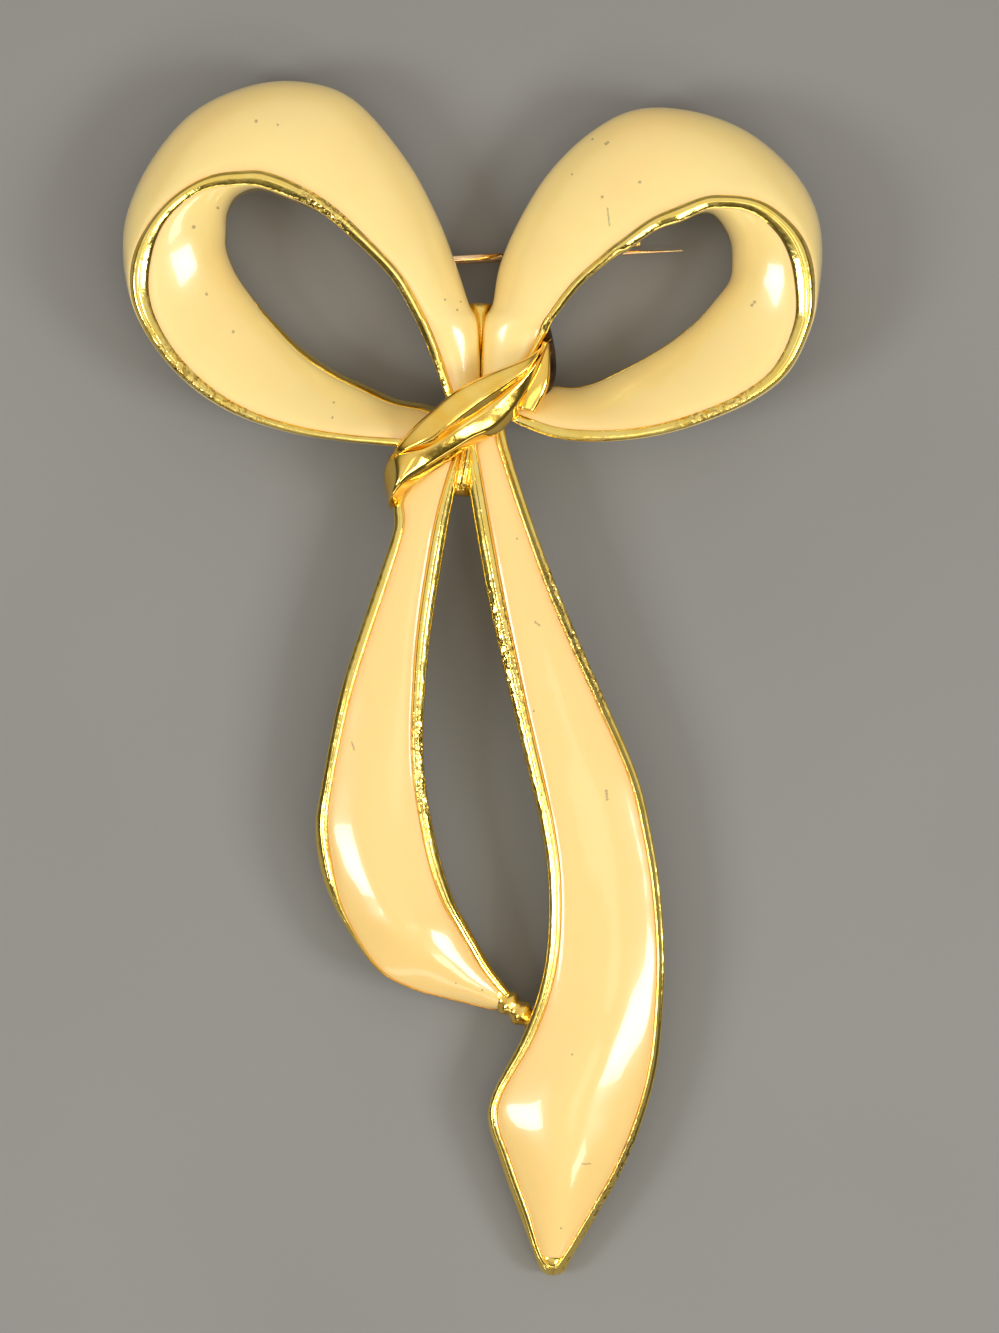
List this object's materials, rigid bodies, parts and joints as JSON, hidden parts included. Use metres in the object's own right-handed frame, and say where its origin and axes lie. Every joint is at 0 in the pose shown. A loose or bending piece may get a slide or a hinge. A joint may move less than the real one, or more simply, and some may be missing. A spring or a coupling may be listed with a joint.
{
  "type": "bow brooch",
  "caption": "Ribbon bow brooch in gilt metal with cream enamel laid between gold rims, a twisted knot, crossed hanging tails and a hinged pin at the back.",
  "frame": {"origin": "bottom centre of the bounding box, in the plane that the back of the brooch rests on", "axes": "+Y from the ends of the tails toward the loops, +X to the right as seen from the front, +Z out of the front"},
  "size_m": [0.0586, 0.1006, 0.0111],
  "materials": {
    "gilt_metal": "polished gold plate over a cast zinc alloy, with a slightly uneven surface",
    "cream_enamel": "glossy cream enamel with fine specks",
    "pin_wire": "drawn wire with worn gold plate"
  },
  "bodies": {
    "bow": {"bow_casting": "gilt_metal", "enamel_left_loop_outer": "cream_enamel", "enamel_left_loop_inner": "cream_enamel", "enamel_right_loop_outer": "cream_enamel", "enamel_right_loop_inner": "cream_enamel", "enamel_left_tail": "cream_enamel", "enamel_right_tail": "cream_enamel", "pin_rivet": "gilt_metal"},
    "pin": {"pin_stem": "pin_wire"}
  },
  "joints": [
    {"name": "pin_hinge", "type": "hinge", "parent": "bow", "child": "pin", "pos_m": [-0.00391, 0.03537, 0.0013], "axis": [-0.0401, 0.9992, 0], "range_deg": [0, 90]}
  ]
}
